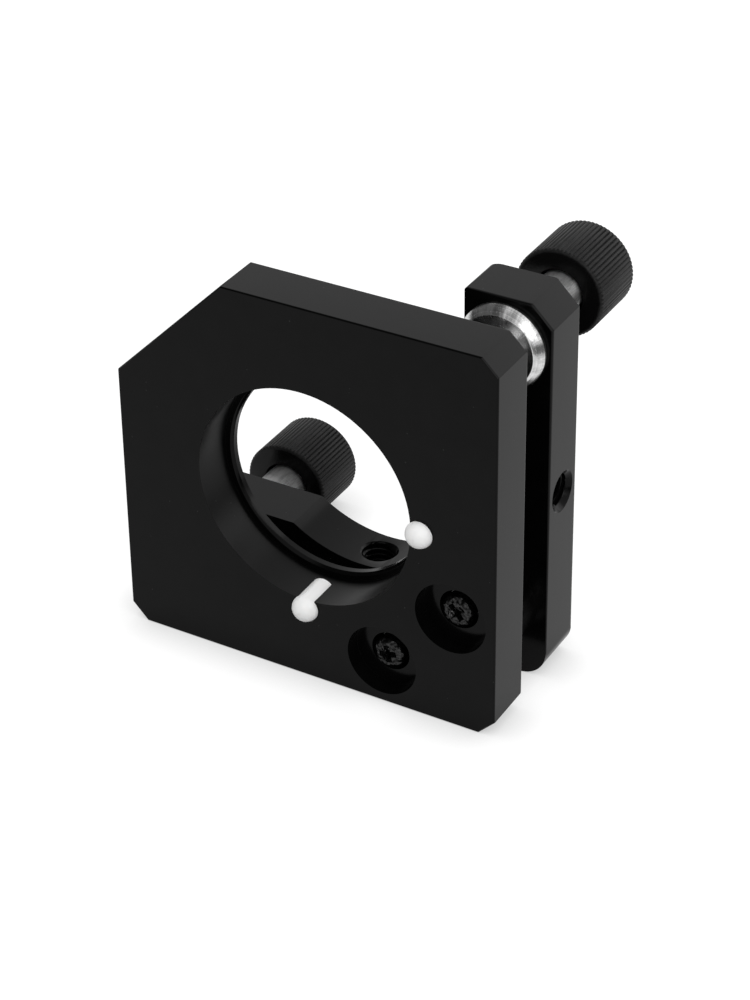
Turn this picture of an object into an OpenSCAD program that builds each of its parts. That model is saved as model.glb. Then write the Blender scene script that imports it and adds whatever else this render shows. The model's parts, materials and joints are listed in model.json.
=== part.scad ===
// Kinematic mirror mount for a round optic of one inch.
//
// A square front plate holds the optic and tilts about a ball near its lower right corner.
// Two fine screws in an L-shaped back plate push on it, at the upper right and the lower left.
// Two spring-loaded screws pull the plates together.
//
// Frame: the origin is on the optical axis at the front plate's front face.
// +X is right, +Z is up, and +Y runs from the front plate to the knobs.

/* [Plates] */
// Width and height of both plates
plate_w = 46; // [44:0.5:60]
// Thickness of the front plate
front_t = 6.3; // [6:0.1:9]
// Thickness of the back plate
back_t = 6.3; // [5.5:0.1:10]
// Gap between the plates when they are parallel
plate_gap = 5.7; // [5.6:0.1:8]
// Leg of the large chamfer on the front plate's upper left corner
corner_cut = 13.6; // [11:0.2:15]
// Leg of the small chamfers on the front plate's other corners
small_cut = 1.9; // [0.5:0.1:2.4]
// Width of the back plate's two legs
leg_w = 10.2; // [9.8:0.1:11.5]
// Radius of the round relief in the back plate, about the optical axis
relief_r = 15.5; // [13.5:0.1:16.2]
// Leg of the chamfers on the back plate's outer leg ends
leg_cut = 2.5; // [0.5:0.1:2.8]
// Fillet radius on the back plate's inner leg ends
leg_fillet = 0.3; // [0.2:0.1:1.6]
// Radius of the rear edge on the upper leg's inner side
leg_rear_r = 1.2; // [0.6:0.1:1.8]
// Fillet radius on the back plate's outer corner
heel_r = 3.2; // [1:0.1:4]

/* [Optic seat] */
// Diameter of the optic
optic_d = 25.4; // [24:0.1:26]
// Radial room between the optic and its bore
optic_room = 0.3; // [0.25:0.05:0.6]
// Thickness of the lip that the optic rests on
lip_t = 1; // [0.6:0.1:2]
// Radial width of the optic that the lip covers
lip_cover = 0.6; // [0.3:0.1:1.5]
// Bevel on the lip's inner edge
lip_bevel = 0.3; // [0.1:0.05:0.5]

/* [Nylon pins] */
// Diameter of the pins
pin_d = 3; // [2:0.1:3.2]
// Diameter of the pins' domed heads
pin_head_d = 3.1; // [3:0.1:3.4]
// Height of the pins above the bore's wall
pin_proud = 0.45; // [0.35:0.05:0.5]
// Length of the pins inside the bore
pin_len = 4; // [2:0.1:4.6]
// Length of the domed heads in front of the plate
pin_dome = 1.4; // [0.8:0.1:2]

/* [Optic set screw] */
// Thread diameter of the set screw
set_d = 3; // [2.5:0.1:3.4]
// Length of the set screw
set_len = 6; // [4:0.1:6.5]
// Diameter of the set screw's nylon tip
tip_d = 1.8; // [1.4:0.1:2]
// Length of the nylon tip outside the screw
tip_out = 1.4; // [1.2:0.1:2]
// Length of the nylon tip inside the screw
tip_in = 1.5; // [1:0.1:2]
// Distance of the nylon tip below the bore's wall at rest
tip_back = 0.3; // [0.1:0.05:0.8]
// Width across flats of the set screw's socket
set_key = 1.5; // [1.2:0.1:1.6]
// Depth of the set screw's socket
set_key_depth = 1.6; // [1:0.1:2]

/* [Adjusters] */
// Distance from the plate's edges to an adjuster's axis
adjuster_inset = 5.5; // [5.3:0.1:6]
// Thread diameter of the adjuster screws
screw_d = 3; // [2.6:0.1:3.2]
// Outer diameter of the bushings' barrels
barrel_d = 5.1; // [4.6:0.1:6]
// Length of the barrels behind the back plate
barrel_tail = 7.7; // [7.2:0.1:8.4]
// Diameter of the bushings' flanges
flange_d = 9.8; // [8.8:0.1:10]
// Thickness of the bushings' flanges
flange_t = 1.6; // [1.3:0.05:1.8]
// Radial width of the cone on the flanges' rims
flange_cone_w = 0.75; // [0.3:0.05:1]
// Length of the cone on the flanges' rims
flange_cone_len = 1.05; // [0.6:0.05:1.2]
// Distance from the back plate to the knobs
knob_gap = 6.1; // [5.4:0.1:6.6]
// Diameter of the knobs over the knurl
knob_d = 10.4; // [9.8:0.1:10.9]
// Length of the knobs
knob_len = 7.8; // [6.8:0.1:12]
// Room between a barrel and the bore of the knob around it
barrel_room = 0.35; // [0.3:0.05:0.8]
// Depth of the bore for the barrel in the knobs' fronts
knob_bore_depth = 4; // [3.8:0.1:4.5]
// Length of the screws inside the knobs
screw_grip = 2.7; // [1.5:0.1:3]
// Teeth in the knobs' straight knurl
knurl_teeth = 66; // [40:1:72]
// Depth of the knurl
knurl_depth = 0.16; // [0.1:0.02:0.24]
// Bevel on the knobs' rims
knob_bevel = 0.25; // [0.2:0.05:0.5]

/* [Ball contacts] */
// Diameter of the three steel balls
ball_d = 4; // [3.8:0.1:4.1]
// Diameter of the hardened seats in the front plate
seat_d = 6; // [5.4:0.1:6.6]
// Height of the hardened seats
seat_h = 3; // [2.9:0.1:3.4]
// Radius of the cone's mouth and half the width of the groove
mouth_r = 2.2; // [2.1:0.05:2.4]
// Diameter of the stud that carries the pivot ball
stud_d = 5; // [4.6:0.1:5.6]
// Depth of the stud in the back plate
stud_grip = 4; // [2.5:0.1:4.6]
// Radius of the mouth of the stud's cone
stud_mouth_r = 1.9; // [1.8:0.05:2]

/* [Spring screws] */
// Distance from the plates' outer edge to the nearer spring screw's axis
spring_inset = 5.3; // [4.8:0.1:5.8]
// Distance between the two spring screws along one edge of the plates
spring_step = 8.3; // [7.9:0.1:8.7]
// Diameter of the counterbores in the front plate
counterbore_d = 8.4; // [7:0.1:8.6]
// Depth of the counterbores
counterbore_depth = 2; // [1.4:0.1:2.2]
// Diameter of the spring pockets in the counterbores' floors
pocket_d = 4.6; // [4.5:0.1:5]
// Thickness of the ledge behind the spring pockets
ledge_t = 0.8; // [0.6:0.05:1]
// Diameter of the hole in the ledge
ledge_hole_d = 3; // [2.9:0.1:3.3]
// Thread diameter of the spring screws
tension_d = 2; // [1.6:0.1:2.1]
// Head diameter of the spring screws
head_d = 3.74; // [3.4:0.02:3.8]
// Head height of the spring screws
head_h = 1.4; // [1.1:0.05:1.5]
// Width of the cross recess in the heads
recess_w = 2.2; // [1.6:0.1:2.6]
// Width of one slot of the cross recess
recess_slot = 0.6; // [0.4:0.05:0.8]
// Depth of the cross recess
recess_depth = 0.8; // [0.5:0.05:0.9]
// Distance that the heads stand out of the counterbores' floors
head_out = 0.7; // [0.5:0.1:0.9]
// Length of the spring screws in the back plate
tension_grip = 5; // [3:0.1:5.4]
// Outer diameter of the springs
spring_d = 4.2; // [3.9:0.05:4.3]
// Wire diameter of the springs
wire_d = 0.4; // [0.3:0.02:0.46]
// Turns of the springs
spring_turns = 4; // [3:0.5:4]

/* [Mounting holes] */
// Wall diameter of the tapped mounting holes
tap_d = 3.3; // [2.5:0.1:4.2]
// Diameter of the mounting holes' countersinks
tap_mouth_d = 4.8; // [4.4:0.1:5.4]
// Bevel on the mounting holes' inner ends
tap_bevel = 0.4; // [0.2:0.1:0.6]
// Offset of the mounting holes from the optical axis, towards the corner of the L
tap_shift = 0.5; // [0:0.1:1]

/* [Hidden] */

// Radial clearance of the screws in their threads
thread_play = 0.05;
// Clearance between a ball and what it bears on
ball_play = 0.05;
// Clearance at the ends of the springs
spring_play = 0.02;
// Overshoot of a cut beyond the surface that it opens
over = 1;

root_2 = sqrt(2);
half_w = plate_w / 2;
adjuster_at = half_w - adjuster_inset;
upper_at = [adjuster_at, adjuster_at];
lower_at = [-adjuster_at, -adjuster_at];
pivot_at = [adjuster_at, -adjuster_at];
spring_far = half_w - spring_inset;
spring_near = spring_far - spring_step;
upper_spring_at = [spring_far, -spring_near];
lower_spring_at = [spring_near, -spring_far];

back_y = front_t + plate_gap;
rear_y = back_y + back_t;
mid_back_y = back_y + back_t / 2;

bore_r = optic_d / 2 + optic_room;
lip_r = optic_d / 2 - lip_cover;
bore_depth = front_t - lip_t;

ball_r = ball_d / 2;
cup_r = ball_r + ball_play;
// A right-angled cone holds a ball with its centre this far from the cone's tip
cone_reach = cup_r * root_2;
ball_y = front_t - mouth_r + cone_reach;
seat_floor_y = front_t - seat_h;
stud_y = ball_y + cone_reach - stud_mouth_r;

// Distances from the optical axis to the pins' inner sides and to their axes
pin_reach = bore_r - pin_proud;
pin_at = pin_reach + pin_d / 2;
pin_bevel = 0.2;

screw_r = screw_d / 2;
cup_rim = 0.12;
barrel_bevel = 0.25;
screw_y = ball_y + sqrt(cup_r * cup_r - pow(screw_r - cup_rim, 2));
flange_y = back_y - flange_t;
// Share of the knurl's pitch that is flat crest
crest_share = 0.4;
barrel_y = rear_y + barrel_tail;
knob_y = rear_y + knob_gap;
knob_rear_y = knob_y + knob_len;
knob_floor_y = knob_y + knob_bore_depth;

head_y = counterbore_depth - head_out;
head_back_y = head_y + head_h;
ledge_y = front_t - ledge_t;

// Distance from the optical axis to the face of the large chamfer
cut_face = (plate_w - corner_cut) / root_2;
tip_at = bore_r + tip_back;
set_at = tip_at + tip_out;

fine = 96;
small = 48;
black = "#1c1c1e";
steel = "#c4c6c8";
nylon = "#f2f2ee";

// ---- Shared shapes ----

// A flat outline in X and Z, made solid from y to y + thickness
module slab(y, thickness)
    translate([0, y + thickness, 0]) rotate([90, 0, 0]) linear_extrude(thickness) children();

// A round bar along Y, at [x, z], from y0 to y1
module bar(at, r, y0, y1, fn = small)
    translate([at[0], y0, at[1]]) rotate([-90, 0, 0]) cylinder(r = r, h = y1 - y0, $fn = fn);

// A cone along Y, at [x, z], from radius r0 at y0 to radius r1 at y1
module taper(at, r0, y0, r1, y1, fn = small)
    translate([at[0], y0, at[1]]) rotate([-90, 0, 0])
        cylinder(r1 = r0, r2 = r1, h = y1 - y0, $fn = fn);

// A piece turned about Y at [x, z], from points of [radius, y]
module turned(at, points, fn = small)
    translate([at[0], 0, at[1]]) rotate([-90, 0, 0]) rotate_extrude($fn = fn) polygon(points);

// Children laid along the set screw's axis, with +Z pointing away from the optic
module along_set_screw()
    translate([0, bore_depth / 2, 0]) rotate([0, -45, 0]) children();

// Points of a quarter round, from [r, y] on the rim to [0, y - rise] on the axis
function dome(r, y, rise, steps = 12) =
    [for (i = [0:steps]) [r * cos(90 * i / steps), y - rise * sin(90 * i / steps)]];

// ---- Plates ----

module front_outline()
    polygon([[-half_w, half_w - corner_cut], [-half_w + corner_cut, half_w],
        [half_w - small_cut, half_w], [half_w, half_w - small_cut],
        [half_w, -half_w + small_cut], [half_w - small_cut, -half_w],
        [-half_w + small_cut, -half_w], [-half_w, -half_w + small_cut]]);

module spring_hole(at) {
    bar(at, counterbore_d / 2, -over, counterbore_depth);
    bar(at, pocket_d / 2, 0, ledge_y);
    bar(at, ledge_hole_d / 2, 0, front_t + over);
}

module front_plate() color(black)
    difference() {
        slab(0, front_t) front_outline();
        bar([0, 0], bore_r, -over, bore_depth, fine);
        bar([0, 0], lip_r, 0, front_t + over, fine);
        taper([0, 0], lip_r + lip_bevel, bore_depth, lip_r, bore_depth + lip_bevel, fine);
        for (at = [[pin_at, 0], [0, -pin_at]]) bar(at, pin_d / 2, -over, pin_len);
        for (at = [upper_at, lower_at, pivot_at]) bar(at, seat_d / 2, seat_floor_y, front_t + over);
        spring_hole(upper_spring_at);
        spring_hole(lower_spring_at);
        along_set_screw() cylinder(r = set_d / 2 + thread_play, h = cut_face + over, $fn = small);
    }

module back_outline()
    difference() {
        union() {
            translate([half_w - leg_w, -half_w]) leg_outline();
            mirror([1, 1]) translate([half_w - leg_w, -half_w]) leg_outline();
        }
        circle(r = relief_r, $fn = fine);
    }

// One leg, with its lower left corner at the origin and the outer corner of the L at its lower right
module leg_outline() {
    end = plate_w;
    difference() {
        square([leg_w, end]);
        translate([leg_w, end]) rotate(45) square(leg_cut * root_2, center = true);
        difference() {
            translate([0, end - leg_fillet]) square(leg_fillet);
            translate([leg_fillet, end - leg_fillet]) circle(r = leg_fillet, $fn = small);
        }
        difference() {
            translate([leg_w - heel_r, 0]) square(heel_r);
            translate([leg_w - heel_r, heel_r]) circle(r = heel_r, $fn = small);
        }
    }
}

// A tapped hole along +Z, from its countersunk mouth at the origin through to -depth
module tapped_hole(depth) {
    countersink = (tap_mouth_d - tap_d) / 2;
    translate([0, 0, -depth - over]) cylinder(r = tap_d / 2, h = depth + 2 * over, $fn = small);
    translate([0, 0, -countersink])
        cylinder(r1 = tap_d / 2, r2 = tap_mouth_d / 2 + over, h = countersink + over, $fn = small);
    translate([0, 0, -depth - over])
        cylinder(r1 = tap_d / 2 + tap_bevel + over, r2 = tap_d / 2, h = tap_bevel + over, $fn = small);
}

// What the rounded rear edge of the upper leg's inner side leaves out, upwards from the origin
module leg_rear_edge()
    difference() {
        translate([-over, -leg_rear_r, 0]) cube([leg_rear_r + over, leg_rear_r + over, plate_w]);
        translate([leg_rear_r, -leg_rear_r, -over]) cylinder(r = leg_rear_r, h = plate_w + 2 * over, $fn = small);
    }

module back_plate() color(black)
    difference() {
        slab(back_y, back_t) back_outline();
        for (at = [upper_at, lower_at]) bar(at, barrel_d / 2, back_y - over, rear_y + over);
        bar(pivot_at, stud_d / 2, back_y - over, back_y + stud_grip);
        for (at = [upper_spring_at, lower_spring_at]) bar(at, tension_d / 2, back_y - over, rear_y + over);
        translate([half_w - leg_w, rear_y, 0]) leg_rear_edge();
        translate([half_w, mid_back_y, -tap_shift]) rotate([0, 90, 0]) tapped_hole(half_w - relief_r);
        translate([tap_shift, mid_back_y, -half_w]) rotate([180, 0, 0]) tapped_hole(half_w - relief_r);
    }

// ---- Adjusters ----

module bushing(at) color(steel)
    turned(at, [[screw_r + thread_play, flange_y], [flange_d / 2 - flange_cone_w, flange_y],
        [flange_d / 2, flange_y + flange_cone_len], [flange_d / 2, back_y], [barrel_d / 2, back_y],
        [barrel_d / 2, barrel_y - barrel_bevel], [barrel_d / 2 - barrel_bevel, barrel_y],
        [screw_r + thread_play, barrel_y]], fine);

module adjuster_screw(at) color(steel)
    difference() {
        bar(at, screw_r, screw_y, knob_floor_y + screw_grip);
        translate([at[0], ball_y, at[1]]) sphere(r = cup_r, $fn = fine);
    }

// The knurled outline: narrow flat crests with grooves between them
module knurl_outline() {
    step = 360 / knurl_teeth;
    crest = step * crest_share / 2;
    polygon([for (i = [0:knurl_teeth - 1]) each [
        knob_d / 2 * [cos(i * step - crest), sin(i * step - crest)],
        knob_d / 2 * [cos(i * step + crest), sin(i * step + crest)],
        (knob_d / 2 - knurl_depth) * [cos((i + 0.5) * step), sin((i + 0.5) * step)]]]);
}

// A solid of revolution a little wider than the knurl, with the rims' bevels
module bevelled_envelope(at) {
    rim = knob_d / 2 - knob_bevel;
    wide = knob_d / 2 + over;
    turned(at, [[0, knob_y], [rim, knob_y], [wide, knob_y + knob_bevel + over],
        [wide, knob_rear_y - knob_bevel - over], [rim, knob_rear_y], [0, knob_rear_y]], fine);
}

module knob(at) color(black)
    difference() {
        intersection() {
            translate([at[0], knob_y, at[1]]) rotate([-90, 0, 0]) linear_extrude(knob_len) knurl_outline();
            bevelled_envelope(at);
        }
        bar(at, barrel_d / 2 + barrel_room, knob_y - over, knob_floor_y);
        bar(at, screw_r, knob_floor_y - over, knob_floor_y + screw_grip);
    }

// ---- Ball contacts ----

module ball(at) color(steel) translate([at[0], ball_y, at[1]]) sphere(r = ball_r, $fn = fine);

module pivot_stud() color(steel)
    difference() {
        bar(pivot_at, stud_d / 2, stud_y, back_y + stud_grip);
        taper(pivot_at, stud_mouth_r + over, stud_y - over, 0, stud_y + stud_mouth_r);
    }

module cone_seat() color(steel)
    difference() {
        bar(pivot_at, seat_d / 2, seat_floor_y, front_t);
        taper(pivot_at, 0, front_t - mouth_r, mouth_r + over, front_t + over);
    }

module vee_seat() color(steel)
    difference() {
        bar(lower_at, seat_d / 2, seat_floor_y, front_t);
        translate([lower_at[0], front_t, lower_at[1]]) rotate([45, 0, 0])
            cube([seat_d + over, mouth_r * root_2, mouth_r * root_2], center = true);
    }

module flat_seat() color(steel)
    bar(upper_at, seat_d / 2, seat_floor_y, ball_y - cup_r);

// ---- Optic holders ----

// A pin of the given axis, with the side of its head that faces the optic cut flat
module nylon_pin(at) color(nylon)
    difference() {
        turned(at, concat([[0, pin_len], [pin_d / 2 - pin_bevel, pin_len], [pin_d / 2, pin_len - pin_bevel],
            [pin_d / 2, 0]], dome(pin_head_d / 2, 0, pin_dome)));
        translate([-pin_reach, -pin_dome - over, -pin_reach])
            cube([2 * pin_reach, pin_dome + over, 2 * pin_reach]);
    }

module set_screw() color(steel)
    along_set_screw() difference() {
        translate([0, 0, set_at]) cylinder(r = set_d / 2, h = set_len, $fn = small);
        translate([0, 0, set_at - over])
            cylinder(r = tip_d / 2, h = tip_in + over, $fn = small);
        translate([0, 0, set_at + set_len - set_key_depth])
            cylinder(d = set_key / cos(30), h = set_key_depth + over, $fn = 6);
    }

module set_screw_tip() color(nylon)
    along_set_screw() translate([0, 0, tip_at]) cylinder(r = tip_d / 2, h = tip_out + tip_in, $fn = small);

// ---- Spring screws ----

module tension_screw(at) color(black)
    difference() {
        union() {
            turned(at, concat([[0, head_back_y], [head_d / 2, head_back_y]],
                dome(head_d / 2, head_y + head_h / 2, head_h / 2)));
            bar(at, tension_d / 2, head_y + head_h / 2, back_y + tension_grip);
        }
        for (turn = [0, 90]) translate([at[0], head_y, at[1]]) rotate([0, turn, 0])
            cube([recess_w, 2 * recess_depth, recess_slot], center = true);
    }

// Sides of the spring's wire, and rings of points in one turn
sides = 8;
per_turn = 20;

// Points of a ring around the wire's centre line at a turn angle
function wire_ring(angle, y) =
    [for (k = [0:sides - 1]) let (a = 360 * k / sides, r = spring_d / 2 - wire_d / 2 + wire_d / 2 * cos(a))
        [r * cos(angle), y + wire_d / 2 * sin(a), r * sin(angle)]];

module spring(at) color(steel) {
    rings = spring_turns * per_turn;
    y0 = head_back_y + wire_d / 2 + spring_play;
    y1 = ledge_y - wire_d / 2 - spring_play;
    points = [for (i = [0:rings]) each wire_ring(360 * i / per_turn, y0 + (y1 - y0) * i / rings)];
    sides_faces = [for (i = [0:rings - 1], k = [0:sides - 1]) let (n = (k + 1) % sides)
        [i * sides + k, i * sides + n, (i + 1) * sides + n, (i + 1) * sides + k]];
    start = [for (k = [sides - 1:-1:0]) k];
    finish = [for (k = [0:sides - 1]) rings * sides + k];
    translate([at[0], 0, at[1]]) polyhedron(points, concat(sides_faces, [start, finish]));
}

front_plate();
back_plate();
bushing(upper_at);  // upper_bushing
bushing(lower_at);  // lower_bushing
adjuster_screw(upper_at);  // upper_screw
adjuster_screw(lower_at);  // lower_screw
knob(upper_at);  // upper_knob
knob(lower_at);  // lower_knob
ball(upper_at);  // upper_ball
ball(lower_at);  // lower_ball
ball(pivot_at);  // pivot_ball
pivot_stud();
cone_seat();
vee_seat();
flat_seat();
nylon_pin([pin_at, 0]);  // right_pin
nylon_pin([0, -pin_at]);  // bottom_pin
set_screw();
set_screw_tip();
tension_screw(upper_spring_at);  // upper_tension_screw
tension_screw(lower_spring_at);  // lower_tension_screw
spring(upper_spring_at);  // upper_spring
spring(lower_spring_at);  // lower_spring
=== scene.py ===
"""Kinematic mirror mount: finishes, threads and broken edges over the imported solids."""
import json
import math

import bpy
from mathutils import Matrix, Vector

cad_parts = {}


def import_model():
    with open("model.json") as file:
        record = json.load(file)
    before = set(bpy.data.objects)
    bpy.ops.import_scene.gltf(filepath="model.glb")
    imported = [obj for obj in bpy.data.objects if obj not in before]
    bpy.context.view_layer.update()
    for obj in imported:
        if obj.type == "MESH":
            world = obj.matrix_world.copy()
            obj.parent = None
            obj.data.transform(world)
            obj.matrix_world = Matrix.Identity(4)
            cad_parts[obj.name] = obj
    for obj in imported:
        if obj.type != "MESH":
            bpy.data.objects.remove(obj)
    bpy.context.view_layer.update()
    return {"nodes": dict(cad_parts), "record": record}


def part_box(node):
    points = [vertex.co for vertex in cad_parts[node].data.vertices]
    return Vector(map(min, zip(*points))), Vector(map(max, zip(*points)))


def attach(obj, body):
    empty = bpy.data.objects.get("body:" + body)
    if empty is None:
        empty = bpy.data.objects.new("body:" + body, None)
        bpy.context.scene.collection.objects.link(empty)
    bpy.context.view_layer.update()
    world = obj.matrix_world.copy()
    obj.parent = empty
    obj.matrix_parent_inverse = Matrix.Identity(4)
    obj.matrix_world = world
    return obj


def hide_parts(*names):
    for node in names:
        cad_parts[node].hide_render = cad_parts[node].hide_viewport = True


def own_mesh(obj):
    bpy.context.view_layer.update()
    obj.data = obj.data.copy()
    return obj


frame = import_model()

MM = 0.001

# ---------------------------------------------------------------- sizes from the frame

# The mount stands on the back plate's lower edge
FLOOR_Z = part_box("back_plate")[0].z

# Thread sizes: major diameter and pitch
ADJUSTER_THREAD = (3.0 * MM, 0.25 * MM)
TENSION_THREAD = (2.0 * MM, 0.4 * MM)
SET_THREAD = (3.0 * MM, 0.5 * MM)
POST_THREAD = (4.0 * MM, 0.7 * MM)

# Points closer than this count as one: within a swept thread or coil, on a cut thread, on a CAD mesh
SWEPT_WELD = 1e-7
CUT_WELD = 1e-6
CAD_WELD = 2e-6


def centre(node):
    """The middle of a CAD node's box."""
    low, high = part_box(node)
    return (low + high) / 2


# ---------------------------------------------------------------- modelling helpers

def deselect_all():
    bpy.ops.object.select_all(action="DESELECT")


def make_active(piece):
    deselect_all()
    piece.select_set(True)
    bpy.context.view_layer.objects.active = piece


def apply_place(piece):
    """Moves a piece's place into its mesh, so that its object sits at the origin."""
    make_active(piece)
    bpy.ops.object.transform_apply(location=True, rotation=True, scale=True)


def place(piece, matrix):
    """Moves a finished mesh in space and leaves its object at the origin."""
    piece.matrix_world = matrix
    apply_place(piece)


def apply_modifiers(piece):
    make_active(piece)
    for modifier in list(piece.modifiers):
        bpy.ops.object.modifier_apply(modifier=modifier.name)


def select_in_edit(piece, kind, chosen):
    """Selects the vertices, edges or faces of a piece for which chosen(element) holds, in edit mode."""
    make_active(piece)
    bpy.ops.object.mode_set(mode="EDIT")
    bpy.ops.mesh.select_mode(type={"vertices": "VERT", "edges": "EDGE", "polygons": "FACE"}[kind])
    bpy.ops.mesh.select_all(action="DESELECT")
    bpy.ops.object.mode_set(mode="OBJECT")
    for element in getattr(piece.data, kind):
        element.select = bool(chosen(element))
    bpy.ops.object.mode_set(mode="EDIT")


def leave_edit():
    bpy.ops.object.mode_set(mode="OBJECT")


def edge_points(piece, edge):
    return [piece.data.vertices[i].co for i in edge.vertices]


def smooth(piece, angle=30):
    make_active(piece)
    bpy.ops.object.shade_smooth_by_angle(angle=math.radians(angle))


def even_faces(piece, angle=28):
    """Smooth shading in which the large flat faces stay flat and the broken edges carry the turn."""
    smooth(piece, angle)
    weighted = piece.modifiers.new("normals", "WEIGHTED_NORMAL")
    weighted.mode = "FACE_AREA"
    weighted.weight = 50
    weighted.keep_sharp = True
    apply_modifiers(piece)


def cut(piece, *cutters, solver="EXACT"):
    """Takes other pieces away from this one and deletes them."""
    for cutter in cutters:
        modifier = piece.modifiers.new("cut", "BOOLEAN")
        modifier.operation = "DIFFERENCE"
        modifier.solver = solver
        modifier.object = cutter
    apply_modifiers(piece)
    for cutter in cutters:
        bpy.data.objects.remove(cutter)


def rod(name, radius, low, high, sides=64):
    """A plain cylinder along +Z from low to high."""
    deselect_all()
    bpy.ops.mesh.primitive_cylinder_add(vertices=sides, radius=radius, depth=high - low,
                                        location=(0, 0, (low + high) / 2))
    piece = bpy.context.active_object
    piece.name = name
    apply_place(piece)
    return piece


def bevel_edges(piece, chosen, offset, segments=3):
    select_in_edit(piece, "edges", chosen)
    bpy.ops.mesh.bevel(offset=offset, segments=segments, affect="EDGES")
    leave_edit()


def thread(name, major, pitch, low, high, steps=40):
    """A rod along +Z with a right-hand 60 degree thread, cut square at low and high."""
    side = pitch / math.sqrt(3)
    crest_flat = pitch / 8
    deselect_all()
    bpy.ops.mesh.primitive_circle_add(vertices=3, radius=side, fill_type="NOTHING",
                                      location=(major / 2 + crest_flat * 0.866 - side, 0, low - pitch),
                                      rotation=(-math.pi / 2, -math.pi / 2, 0))
    piece = bpy.context.active_object
    piece.name = name
    apply_place(piece)
    root = min(v.co.x for v in piece.data.vertices)
    inner = root + pitch / 100
    select_in_edit(piece, "edges", lambda e: all(p.x < inner for p in edge_points(piece, e)))
    bpy.ops.mesh.delete(type="EDGE")
    leave_edit()
    select_in_edit(piece, "vertices", lambda v: v.co.x > inner)
    bpy.ops.mesh.bevel(offset=crest_flat, segments=1, affect="VERTICES")
    leave_edit()
    turns = math.ceil((high - low) / pitch) + 2
    screw = piece.modifiers.new("thread", "SCREW")
    screw.axis = "Z"
    screw.angle = 2 * math.pi
    screw.screw_offset = pitch
    screw.iterations = turns
    screw.steps = screw.render_steps = steps
    screw.use_merge_vertices = True
    screw.merge_threshold = SWEPT_WELD
    apply_modifiers(piece)
    for level, outer in ((low, False), (high, True)):
        select_in_edit(piece, "vertices", lambda v: True)
        bpy.ops.mesh.bisect(plane_co=(0, 0, level), plane_no=(0, 0, 1), use_fill=True,
                            clear_inner=not outer, clear_outer=outer, threshold=SWEPT_WELD)
        leave_edit()
    select_in_edit(piece, "vertices", lambda v: True)
    bpy.ops.mesh.remove_doubles(threshold=CUT_WELD)
    bpy.ops.mesh.delete_loose()
    bpy.ops.mesh.select_all(action="SELECT")
    bpy.ops.mesh.normals_make_consistent(inside=False)
    leave_edit()
    return piece


def along_y(x, z):
    """Turns a piece built along +Z to run along +Y at x and z."""
    return Matrix.Translation((x, 0, z)) @ Matrix.Rotation(-math.pi / 2, 4, "X")


def merged_copy(node, name):
    """A copy of a CAD node with one face for each flat side."""
    piece = bpy.data.objects.new(name, frame["nodes"][node].data.copy())
    bpy.context.scene.collection.objects.link(piece)
    select_in_edit(piece, "vertices", lambda v: True)
    bpy.ops.mesh.remove_doubles(threshold=CAD_WELD)
    bpy.ops.mesh.dissolve_limited(angle_limit=math.radians(0.6))
    leave_edit()
    return piece


def dull_edges(piece, width, segments, angle=28):
    """Takes the sharpness off all edges of a piece, by no more than its smallest faces allow."""
    bevel = piece.modifiers.new("edges", "BEVEL")
    bevel.limit_method = "ANGLE"
    bevel.angle_limit = math.radians(angle)
    bevel.width = width
    bevel.segments = segments
    bevel.use_clamp_overlap = True
    apply_modifiers(piece)


def turned_copy(node, name, edge, segments=1, angle=28):
    """A copy of a turned CAD node with its edges broken."""
    piece = merged_copy(node, name)
    dull_edges(piece, edge, segments, angle)
    smooth(piece, angle * 0.7)
    return piece


def break_edges(piece, offset, chosen, segments=3):
    """Rounds those of a plate's sharp edges for which chosen(ends, length) holds."""
    select_in_edit(piece, "edges", lambda e: False)
    bpy.ops.mesh.edges_select_sharp(sharpness=math.radians(20))
    leave_edit()
    sharp = {e.index for e in piece.data.edges if e.select}

    def wanted(edge):
        ends = edge_points(piece, edge)
        return edge.index in sharp and chosen(ends, (ends[0] - ends[1]).length)

    bevel_edges(piece, wanted, offset, segments)


def finish_piece(piece, body, slot, material, *nodes):
    piece.data.materials.clear()
    piece.data.materials.append(material)
    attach(piece, body)
    if nodes:
        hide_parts(*nodes)


# ---------------------------------------------------------------- material helpers

class Wire:
    """A shader socket that takes part in Python expressions."""

    def __init__(self, tree, socket):
        self.tree = tree
        self.socket = socket

    def maths(self, operation, *values):
        return self.tree.node("ShaderNodeMath", {"operation": operation}, dict(enumerate(values)))

    def __add__(self, other):
        return self.maths("ADD", self, other)

    def __radd__(self, other):
        return self.maths("ADD", other, self)

    def __sub__(self, other):
        return self.maths("SUBTRACT", self, other)

    def __rsub__(self, other):
        return self.maths("SUBTRACT", other, self)

    def __mul__(self, other):
        return self.maths("MULTIPLY", self, other)

    def __rmul__(self, other):
        return self.maths("MULTIPLY", other, self)


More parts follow.
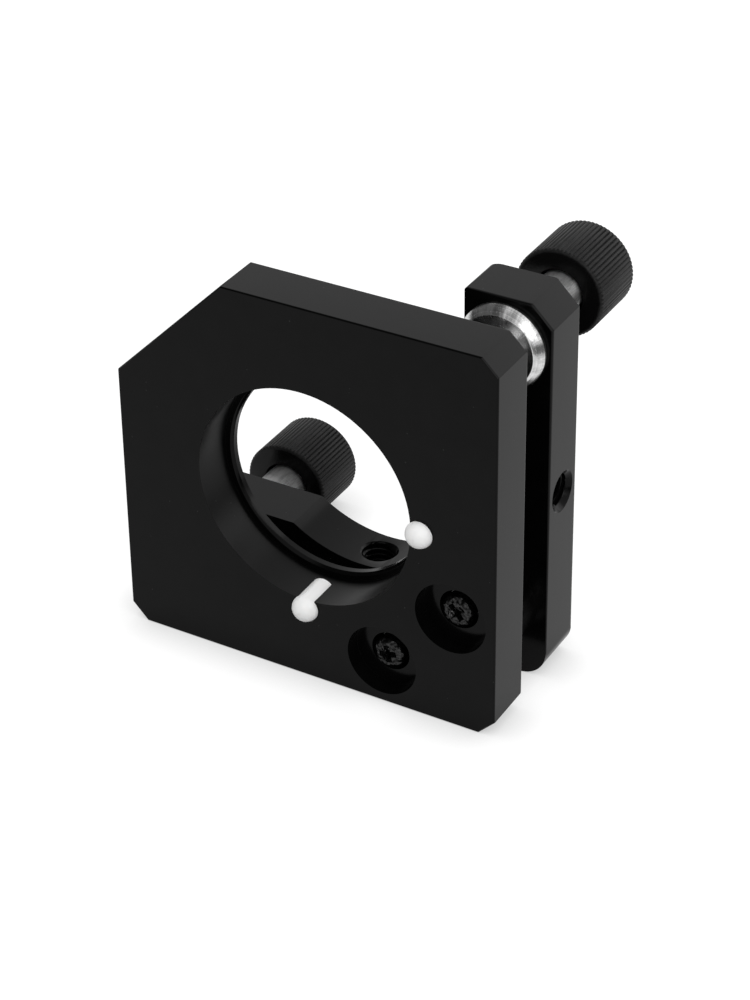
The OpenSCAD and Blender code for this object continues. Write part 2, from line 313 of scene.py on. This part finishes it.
class Tree:
    """The node tree of a material or of the world."""

    def __init__(self, owner):
        owner.use_nodes = True
        self.nodes = owner.node_tree.nodes
        self.links = owner.node_tree.links

    def fill(self, made, sockets):
        for key, value in sockets.items():
            if isinstance(value, Wire):
                self.links.new(value.socket, made.inputs[key])
            else:
                made.inputs[key].default_value = value

    def node(self, kind, settings, sockets, output=0):
        """Adds a node with its settings first, then the values or links of its sockets."""
        made = self.nodes.new(kind)
        for key, value in settings.items():
            setattr(made, key, value)
        self.fill(made, sockets)
        return Wire(self, made.outputs[output])

    def vector(self, operation, *values, output=0):
        return self.node("ShaderNodeVectorMath", {"operation": operation}, dict(enumerate(values)), output)

    def ramp(self, value, low, high, to_low=0.0, to_high=1.0):
        """Maps value from low..high to to_low..to_high, held at the ends."""
        return self.node("ShaderNodeMapRange", {"clamp": True},
                         dict(enumerate((value, low, high, to_low, to_high))))

    def mix(self, factor, first, second):
        return self.node("ShaderNodeMix", {"data_type": "RGBA"}, {0: factor, 6: first, 7: second}, output=2)

    def coordinates(self, scale=(1000, 1000, 1000), centre_at=(0, 0, 0)):
        """Object coordinates in millimetres, centred on a piece."""
        start = self.node("ShaderNodeTexCoord", {}, {}, output="Object")
        moved = self.vector("SUBTRACT", start, tuple(centre_at))
        return self.node("ShaderNodeMapping", {}, {"Vector": moved, "Scale": scale})

    def noise(self, at, scale, detail=2.0, roughness=0.5):
        return self.node("ShaderNodeTexNoise", {},
                         {"Vector": at, "Scale": scale, "Detail": detail, "Roughness": roughness})

    def bump(self, height, distance):
        return self.node("ShaderNodeBump", {}, {"Distance": distance, "Height": height})

    def light_path(self, kind):
        return self.node("ShaderNodeLightPath", {}, {}, output=f"Is {kind} Ray")

    def seen(self):
        """1 for rays from the camera and for those mirrored or let through, 0 for the rest."""
        found = self.light_path("Camera") + self.light_path("Glossy") + self.light_path("Transmission")
        return self.node("ShaderNodeMath", {"operation": "MINIMUM"}, {0: found, 1: 1.0})


def grey(value):
    return (value, value, value, 1.0)


def new_material(name):
    material = bpy.data.materials.new(name)
    tree = Tree(material)
    return material, tree, tree.nodes["Principled BSDF"]


# ---------------------------------------------------------------- finishes

def from_axis(tree, at):
    """In millimetres from an axis along Y through at: the unit spoke, the radius and the place along Y."""
    centred = tree.coordinates(centre_at=(at.x, 0, at.z))
    flat = tree.vector("MULTIPLY", centred, (1, 0, 1))
    spoke = tree.vector("NORMALIZE", flat)
    radius = tree.vector("LENGTH", flat, output="Value")
    along = tree.vector("DOT_PRODUCT", centred, (0, 1, 0), output="Value")
    return spoke, radius, along


def black_anodised(name, marks_scale):
    """Satin black anodising, dullest on the bore's wall. marks_scale draws the tool marks out one way."""
    material, tree, shader = new_material(name)
    even = tree.coordinates()
    radius = from_axis(tree, Vector((0, 0, 0)))[1]
    bore_wall = tree.ramp(radius, 12.9, 12.97) * tree.ramp(radius, 13.3, 13.15)
    grain = tree.noise(even, 14.0, 3.0)
    blotch = tree.noise(even, 0.35, 2.0)
    marks = tree.noise(tree.coordinates(scale=marks_scale), 1.0, 3.0, 0.6)
    near = tree.node("ShaderNodeTexVoronoi", {}, {"Vector": even, "Scale": 0.55}, output="Distance")
    speck = tree.ramp(near, 0.05, 0.035)
    tone = tree.ramp(blotch * 0.6 + grain * 0.4, 0.3, 0.7)
    clean = tree.mix(tone, grey(0.0008), grey(0.0022))
    colour = tree.mix(speck, clean, grey(0.02))
    tree.fill(shader, {
        "Base Color": colour,
        "Roughness": 0.09 + 0.05 * grain + 0.03 * blotch + 0.04 * marks + 0.2 * speck + 0.16 * bore_wall,
        "IOR": 1.19,
        "Normal": tree.bump(grain * 0.5 + marks * 0.5, 0.001 * MM),
    })
    return material


def knurled_black(name, at):
    """Black anodising of a knob: bright where it is turned flat, dull and speckled on the knurl."""
    material, tree, shader = new_material(name)
    radius = from_axis(tree, at)[1]
    even = tree.coordinates()
    grain = tree.noise(even, 4.5, 4.0, 0.65)
    cloud = tree.noise(even, 0.8, 2.0)
    knurl = tree.ramp(radius, 4.7, 4.95)
    worn = tree.ramp(grain * 0.75 + cloud * 0.25, 0.36, 0.64)
    tree.fill(shader, {
        "Base Color": tree.mix(knurl, grey(0.003), tree.mix(worn, grey(0.0045), grey(0.0155))),
        "Roughness": 0.13 + knurl * 0.30 + 0.06 * grain,
        "IOR": 1.22,
        "Normal": tree.bump(grain * 0.7 + cloud * 0.3, 0.016 * MM),
    })
    return material


def turned_steel(name, at, dark=0.26, bright=0.73):
    """Bright steel turned about an axis along Y through at, with fine rings and a duller barrel. Its colour
    runs between dark and bright in painted sheen: painted reflection streaks that vary with the angle about
    the axis, mixed with the real turning rings.
    """
    material, tree, shader = new_material(name)
    spoke, radius, along = from_axis(tree, at)
    profile = tree.node("ShaderNodeCombineXYZ", {}, {0: radius, 1: along, 2: 0.0})
    ring = tree.noise(profile, 9.0, 2.0, 0.6)
    long_streaks = tree.vector("ADD", spoke, tree.vector("MULTIPLY", profile, (0.03, 0.03, 0)))
    short_streaks = tree.vector("ADD", spoke, tree.vector("MULTIPLY", profile, (0.06, 0.06, 0)))
    # Painted reflection: streaks that vary with the angle about the axis stand in for the sheen of turned
    # steel
    broad_painted_sheen = tree.noise(long_streaks, 2.6, 1.0)
    fine = tree.noise(short_streaks, 16.0, 2.0)
    rings_and_painted_sheen = tree.ramp(broad_painted_sheen * 0.55 + fine * 0.25 + ring * 0.2, 0.36, 0.54)
    barrel = tree.ramp(along, 18.0, 18.5)
    turning = tree.noise(profile, 40.0, 1.0) * barrel
    tree.fill(shader, {
        # Colour: painted sheen streaks together with the real turning rings, between dark and bright
        "Base Color": tree.mix(rings_and_painted_sheen, grey(dark), grey(bright)),
        "Metallic": 1.0,
        "Roughness": 0.17 + 0.10 * ring + 0.06 * fine + barrel * 0.14,
        "Normal": tree.bump(ring * 0.6 + fine * 0.4 + turning * 3.5, 0.018 * MM),
    })
    return material


def hardened_steel(name, dark=0.50, bright=0.62):
    """Smooth hard steel with a faint haze."""
    material, tree, shader = new_material(name)
    haze = tree.noise(tree.coordinates(), 3.0, 3.0)
    tree.fill(shader, {
        "Base Color": tree.mix(haze, grey(dark), grey(bright)),
        "Metallic": 1.0,
        "Roughness": 0.10 + 0.10 * haze,
    })
    return material


def black_oxide(name):
    """Blackened steel of small screws, dented by the tool and slightly oily."""
    material, tree, shader = new_material(name)
    even = tree.coordinates()
    haze = tree.noise(even, 3.0, 3.0)
    dents = tree.noise(even, 1.3, 1.0, 0.5)
    tree.fill(shader, {
        "Base Color": tree.mix(tree.ramp(haze, 0.4, 0.62), grey(0.004), grey(0.042)),
        "Metallic": 0.9,
        "Roughness": 0.12 + 0.14 * haze,
        "Normal": tree.bump(dents * 0.95 + haze * 0.05, 0.5 * MM),
    })
    return material


def white_nylon(name):
    """White nylon, slightly see-through at its surface."""
    material, tree, shader = new_material(name)
    even = tree.coordinates()
    cloud = tree.noise(even, 0.9, 2.0)
    grain = tree.noise(even, 9.0, 2.0)
    shader.inputs["Subsurface Weight"].default_value = 0.25
    shader.inputs["Subsurface Radius"].default_value = (0.8, 0.77, 0.74)
    shader.inputs["Subsurface Scale"].default_value = 0.4 * MM
    tree.fill(shader, {
        "Base Color": tree.mix(cloud, (0.91, 0.91, 0.905, 1), (0.97, 0.97, 0.965, 1)),
        "Roughness": 0.34 + 0.12 * grain,
        "Normal": tree.bump(grain * 0.4 + cloud * 0.6, 0.03 * MM),
    })
    return material


# ---------------------------------------------------------------- pieces

upper_at = centre("upper_ball")
lower_at = centre("lower_ball")
pivot_at = centre("pivot_ball")

anodised_front = black_anodised("black_anodised_front_plate", (160, 160, 2600))
anodised_back = black_anodised("black_anodised_back_plate", (160, 2600, 160))
knob_upper = knurled_black("knurled_black_upper", upper_at)
knob_lower = knurled_black("knurled_black_lower", lower_at)
steel_upper = turned_steel("turned_steel_upper", upper_at)
# The lower adjuster's steel is a darker copy of the same steel: painted shade for the lower barrel
steel_lower_shaded = turned_steel("turned_steel_lower", lower_at, dark=0.2, bright=0.52)
steel_pivot = turned_steel("turned_steel_pivot", pivot_at)
polished = hardened_steel("hardened_steel")
screw_black = black_oxide("black_oxide_screws")
nylon = white_nylon("white_nylon")
# The spring wire is coloured nearly black: painted shade for the pocket under the screw head where the coil
# sits
spring_wire_painted_shade = hardened_steel("drawn_spring_wire", 0.06, 0.12)


def post_tap(mount):
    """A tap's shape at a mounting hole, used to cut its thread."""
    major, pitch = POST_THREAD
    inward, past_face = 8 * MM, 0.9 * MM
    tap = thread(mount["name"] + "_tap", major, pitch, -inward, past_face, steps=32)
    outward = Vector(mount["axis"])
    place(tap, Matrix.Translation(mount["pos_m"]) @ outward.to_track_quat("Z", "X").to_matrix().to_4x4())
    return tap


def plates():
    """Both plates with their outer edges rounded and dulled, and the post holes tapped."""
    near = 0.05 * MM
    shortest = 1.6 * MM
    front_round, back_round, dulled = 0.22 * MM, 0.28 * MM, 0.2 * MM
    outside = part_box("front_plate")[1].x - near
    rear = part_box("back_plate")[1].y - near

    def on_outline(ends, length):
        """An edge of the front or rear face, along the plate's outline."""
        if length < shortest or abs(ends[0].y - ends[1].y) > near:
            return False
        return all(max(abs(p.x), abs(p.z)) > outside for p in ends)

    def on_back_outline(ends, length):
        """The outline but for the upper leg's rear edge, which runs into a rounded corner."""
        return on_outline(ends, length) and not all(p.y > rear and p.z > outside for p in ends)

    front = merged_copy("front_plate", "front_plate_finished")
    break_edges(front, front_round, on_outline)
    dull_edges(front, dulled, 2)
    even_faces(front)
    finish_piece(front, "stage", "black_anodised", anodised_front, "front_plate")
    back = merged_copy("back_plate", "back_plate_finished")
    break_edges(back, back_round, on_back_outline)
    dull_edges(back, dulled, 2)
    taps = [post_tap(mount) for mount in frame["record"]["mounts"] if mount["name"].endswith("_post_hole")]
    cut(back, *taps)
    even_faces(back)
    finish_piece(back, "base", "black_anodised", anodised_back, "back_plate")


def bushings():
    """The flanged bushings of the two adjusters."""
    for side, material in (("upper", steel_upper), ("lower", steel_lower_shaded)):
        bushing = turned_copy(f"{side}_bushing", f"{side}_bushing_finished", edge=0.07 * MM)
        finish_piece(bushing, "base", "steel", material, f"{side}_bushing")


def adjuster_screws():
    """The two fine-threaded screws, hollowed at the tip for their balls."""
    major, pitch = ADJUSTER_THREAD
    ball_play = 0.05 * MM
    for side, at, material in (("upper", upper_at, steel_upper), ("lower", lower_at, steel_lower_shaded)):
        low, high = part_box(f"{side}_screw")
        ball_low, ball_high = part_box(f"{side}_ball")
        screw = thread(f"{side}_adjuster_thread", major, pitch, low.y, high.y)
        deselect_all()
        bpy.ops.mesh.primitive_uv_sphere_add(segments=48, ring_count=24,
                                             radius=(ball_high.y - ball_low.y) / 2 + ball_play,
                                             location=(0, 0, at.y))
        socket = bpy.context.active_object
        apply_place(socket)
        cut(screw, socket, solver="MANIFOLD")
        place(screw, along_y(at.x, at.z))
        smooth(screw, 25)
        finish_piece(screw, f"{side}_drive", "steel", material, f"{side}_screw")


def knobs():
    """The two knurled knobs."""
    for side, material in (("upper", knob_upper), ("lower", knob_lower)):
        knob = turned_copy(f"{side}_knob", f"{side}_knob_finished", edge=0.03 * MM, angle=34)
        finish_piece(knob, f"{side}_drive", "black_knurled", material, f"{side}_knob")


def wing(width, thickness, depth, angle):
    """One pair of a cross recess's wings, tapered towards its bottom at -depth."""
    taper = (0.42, 0.7, 1)
    deselect_all()
    bpy.ops.mesh.primitive_cube_add(size=1, location=(0, 0, 0))
    piece = bpy.context.active_object
    piece.scale = (width, thickness, 2 * depth)
    apply_place(piece)
    select_in_edit(piece, "polygons", lambda f: f.normal.z < -0.9)
    bpy.ops.transform.resize(value=taper, center_override=(0, 0, -depth))
    leave_edit()
    place(piece, Matrix.Rotation(math.radians(angle), 4, "Z"))
    return piece


def cross_head_screw(name, node_name, turn):
    """A pan head screw with a cross recess, built along +Z with its head down, then laid along Y."""
    major, pitch = TENSION_THREAD
    low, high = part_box(node_name)
    at = centre(node_name)
    head_r = (high.x - low.x) / 2
    head_h = 1.4 * MM
    crown_r = 0.6 * MM
    wing_width, wing_thickness, wing_depth = 2.95 * MM, 0.85 * MM, 1.05 * MM
    head = rod(name, head_r, 0, head_h, sides=72)
    bevel_edges(head, lambda e: all(p.z < 1e-6 for p in edge_points(head, e)), crown_r, segments=8)
    recess = [wing(wing_width, wing_thickness, wing_depth, turn + side) for side in (0, 90)]
    for piece in recess:
        place(piece, Matrix.Rotation(math.pi, 4, "X"))
    cut(head, *recess)
    smooth(head, 30)
    shank = thread(name + "_shank", major, pitch, head_h - 0.05 * MM, high.y - low.y, steps=32)
    smooth(shank, 25)
    for piece in (head, shank):
        place(piece, Matrix.Translation((at.x, low.y, at.z)) @ Matrix.Rotation(-math.pi / 2, 4, "X"))
    finish_piece(head, "base", "black_oxide", screw_black, node_name)
    finish_piece(shank, "base", "black_oxide", screw_black)


def tension_screws():
    """The two screws that carry the springs, stopped at different turns of their recesses."""
    cross_head_screw("upper_tension_head", "upper_tension_screw", 42)
    cross_head_screw("lower_tension_head", "lower_tension_screw", 12)


def spring(name, node_name):
    """A compression spring of round wire along Y, under the head of its screw. The joint's tilt presses its
    rear end, which is arm away from the joint's axis. The room keeps the coil off the tilting pocket."""
    low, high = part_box(node_name)
    at = centre(node_name)
    wire_r = 0.2 * MM
    room = 0.1 * MM
    coil_r = (high.x - low.x) / 2 - wire_r - room
    length = high.y - low.y - room
    turns = 4
    deselect_all()
    bpy.ops.mesh.primitive_circle_add(vertices=12, radius=wire_r, fill_type="NOTHING",
                                      location=(coil_r, 0, wire_r), rotation=(math.pi / 2, 0, 0))
    piece = bpy.context.active_object
    piece.name = name
    apply_place(piece)
    screw = piece.modifiers.new("coil", "SCREW")
    screw.axis = "Z"
    screw.angle = 2 * math.pi
    screw.screw_offset = (length - 2 * wire_r) / turns
    screw.iterations = turns
    screw.steps = screw.render_steps = 36
    apply_modifiers(piece)
    select_in_edit(piece, "vertices", lambda v: True)
    bpy.ops.mesh.remove_doubles(threshold=SWEPT_WELD)
    bpy.ops.mesh.fill_holes(sides=0)
    bpy.ops.mesh.normals_make_consistent(inside=False)
    leave_edit()
    place(piece, Matrix.Translation((0, low.y, 0)) @ along_y(at.x, at.z))
    smooth(piece, 40)
    finish_piece(piece, "base", "steel", spring_wire_painted_shade, node_name)
    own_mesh(piece)


def set_screw():
    """The nylon-tipped screw that holds the optic, along the diagonal from the upper left."""
    major, pitch = SET_THREAD
    key_r = 0.866 * MM
    key_depth = 1.6 * MM
    tip_r = 0.9 * MM
    tip_depth = 1.5 * MM
    past_end = 0.5 * MM
    low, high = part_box("set_screw")
    outward = Vector((-1, 0, 1)).normalized()
    reach = [Vector(corner).dot(outward) for corner in
             ((high.x, low.y, low.z), (low.x, low.y, high.z))]
    radius = (high.y - low.y) / 2
    near, far = reach[0] + radius, reach[1] - radius
    screw = thread("optic_set_screw", major, pitch, near, far, steps=36)
    key = rod("key_socket", key_r, far - key_depth, far + key_depth, sides=6)
    tip_hole = rod("tip_hole", tip_r, near - past_end, near + tip_depth, sides=48)
    cut(screw, key, tip_hole)
    smooth(screw, 25)
    middle_y = (low.y + high.y) / 2
    place(screw, Matrix.Translation((0, middle_y, 0)) @ Matrix.Rotation(-math.pi / 4, 4, "Y"))
    finish_piece(screw, "clamp_drive", "black_oxide", screw_black, "set_screw")


def nylon_pins():
    """The two pins on which the optic rests."""
    for side in ("right", "bottom"):
        pin = turned_copy(f"{side}_pin", f"{side}_nylon_pin", edge=0.1 * MM, segments=3, angle=35)
        finish_piece(pin, "stage", "nylon", nylon, f"{side}_pin")


def carried_over():
    """CAD nodes that keep their own mesh and only get their finish."""
    for name, material in (("upper_ball", polished), ("lower_ball", polished), ("pivot_ball", polished),
                           ("pivot_stud", steel_pivot), ("cone_seat", polished), ("vee_seat", polished),
                           ("flat_seat", polished), ("set_screw_tip", nylon)):
        mesh = frame["nodes"][name].data
        mesh.materials.clear()
        mesh.materials.append(material)


plates()
bushings()
adjuster_screws()
knobs()
tension_screws()
spring("upper_spring_coil", "upper_spring")
spring("lower_spring_coil", "lower_spring")
set_screw()
nylon_pins()
carried_over()

# ---------------------------------------------------------------- floor, light and camera

def floor():
    """A white sweep that ends a short way to the right. Its glow darkens under the mount by ambient
    occlusion, a painted contact shadow.
    """
    size = 2.0
    right_end = 0.12
    deselect_all()
    bpy.ops.mesh.primitive_plane_add(size=size, location=(right_end - size / 2, 0, FLOOR_Z))
    piece = bpy.context.active_object
    piece.name = "floor"
    material, tree, shader = new_material("pale_floor")
    painted_contact_shadow = tree.node("ShaderNodeAmbientOcclusion", {"samples": 8}, {"Distance": 5 * MM}, output="AO")
    tree.fill(shader, {
        "Base Color": grey(0.25),
        "Roughness": 0.9,
        "Specular IOR Level": 0.0,
        # Painted contact shadow: the glow falls from 1.0 to 0.45 where ambient occlusion finds the mount
        # close
        "Emission Color": tree.mix(painted_contact_shadow, grey(0.45), grey(1.0)),
        "Emission Strength": tree.seen() * 0.72 + tree.light_path("Camera") * 0.12,
    })
    piece.data.materials.append(material)


def world():
    """A white room. Metal mirrors it bright behind the mount, dark at the front left and low right."""
    made = bpy.data.worlds.new("studio")
    bpy.context.scene.world = made
    tree = Tree(made)
    ray = tree.node("ShaderNodeTexCoord", {}, {}, output="Generated")
    across, along, up = (tree.vector("DOT_PRODUCT", ray, axis, output="Value")
                         for axis in ((1, 0, 0), (0, 1, 0), (0, 0, 1)))
    walls = tree.ramp(along, -0.35, 0.35, 0.85, 1.2)
    left_front = tree.ramp(across, -0.12, -0.34) * tree.ramp(along, 0.55, 0.3)
    right_edge = tree.ramp(across, 0.55, 0.8) * tree.ramp(up, 0.10, 0.02)
    mirrored = walls * (1.0 - 0.9 * left_front) * (1.0 - 0.9 * right_edge)
    eye = tree.light_path("Camera")
    soft = 0.95
    strength = soft + tree.seen() * (mirrored - soft)
    strength = strength + eye * (1.0 - strength)
    background = tree.nodes["Background"]
    tree.fill(background, {"Color": grey(1.0), "Strength": strength})


def area_lamp(name, place_at, size, power):
    """A square softbox that faces the mount."""
    data = bpy.data.lights.new(name, "AREA")
    data.shape = "RECTANGLE"
    data.size = data.size_y = size
    data.energy = power
    lamp = bpy.data.objects.new(name, data)
    bpy.context.scene.collection.objects.link(lamp)
    lamp.location = place_at
    lamp.rotation_euler = (-Vector(place_at)).to_track_quat("-Z", "Y").to_euler()


def camera():
    """Stands to the right of the mount and above it, with a long lens shifted to frame the whole."""
    azimuth, elevation, roll = (math.radians(a) for a in (31.074, 29.294, -1.204))
    distance = 0.2878
    aside, up = -0.003243, 0.018367
    back = Vector((math.sin(azimuth) * math.cos(elevation), -math.cos(azimuth) * math.cos(elevation),
                   math.sin(elevation)))
    right = (-back).cross(Vector((0, 0, 1))).normalized()
    above = right.cross(-back)
    across = math.cos(roll) * right + math.sin(roll) * above
    upward = -math.sin(roll) * right + math.cos(roll) * above
    data = bpy.data.cameras.new("camera")
    piece = bpy.data.objects.new("camera", data)
    bpy.context.scene.collection.objects.link(piece)
    eye = back * distance - aside * across + up * upward
    turn = Matrix((across, upward, back)).transposed().to_4x4()
    piece.matrix_world = Matrix.Translation(eye) @ turn
    data.sensor_width = 36
    data.lens = 98.2
    data.shift_x = 0.0417
    data.shift_y = -0.1755
    data.clip_start = 0.01
    bpy.context.scene.camera = piece


floor()
world()
area_lamp("softbox_behind_right", (0.44, 0.58, 0.34), 0.45, 0.8)
area_lamp("softbox_right", (0.52, -0.28, 0.38), 0.42, 1.3)
camera()
bpy.context.scene.view_settings.view_transform = "Standard"
